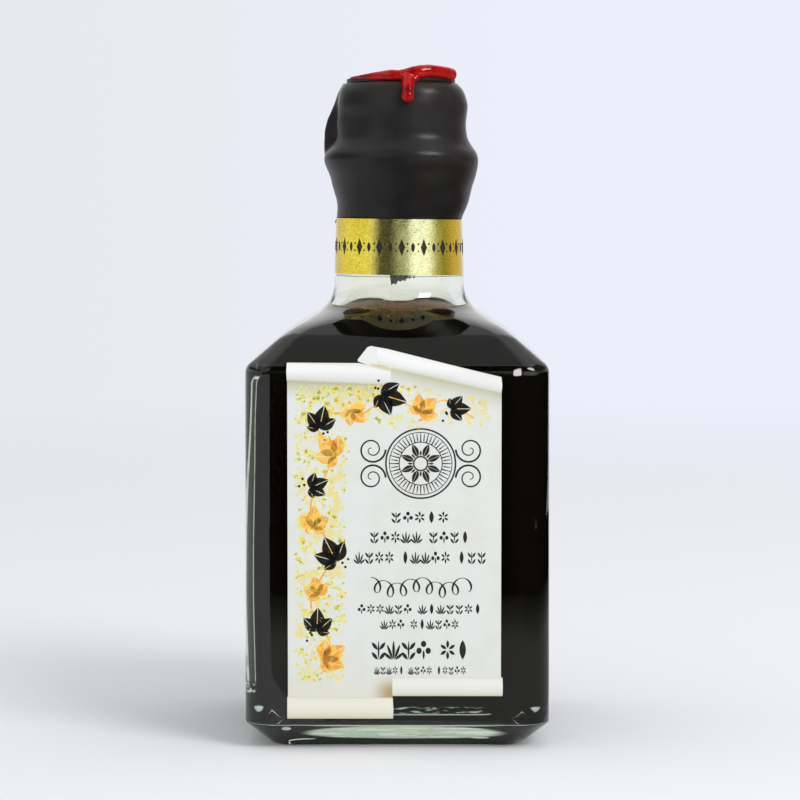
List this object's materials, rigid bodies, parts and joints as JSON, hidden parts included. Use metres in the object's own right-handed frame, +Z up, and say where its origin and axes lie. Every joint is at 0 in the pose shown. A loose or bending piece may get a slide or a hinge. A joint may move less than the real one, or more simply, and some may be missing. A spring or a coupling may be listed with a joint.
{
  "type": "vinegar bottle",
  "caption": "Square clear-glass bottle of dark vinegar with a pyramid shoulder, gold neck band, black wax-dipped top with a red wax pour, and a printed paper label.",
  "frame": {"origin": "centre of the base, on the surface that the bottle stands on", "axes": "+Z up the bottle; the labelled face looks along -Y, with +X to its right"},
  "size_m": [0.0638, 0.0643, 0.1437],
  "materials": {
    "glass": "clear, faintly green, polished",
    "vinegar": "near-black brown liquid",
    "gold_band": "gold foil paper, glossy",
    "black_wax": "hand-dipped sealing wax, satin",
    "red_wax": "poured sealing wax, glossy",
    "label_paper": "off-white paper with a coloured print, matte"
  },
  "bodies": {
    "root": {"glass_bottle": "glass", "vinegar": "vinegar", "neck_band": "gold_band", "wax_cap": "black_wax", "red_wax": "red_wax", "label": "label_paper"}
  },
  "joints": []
}
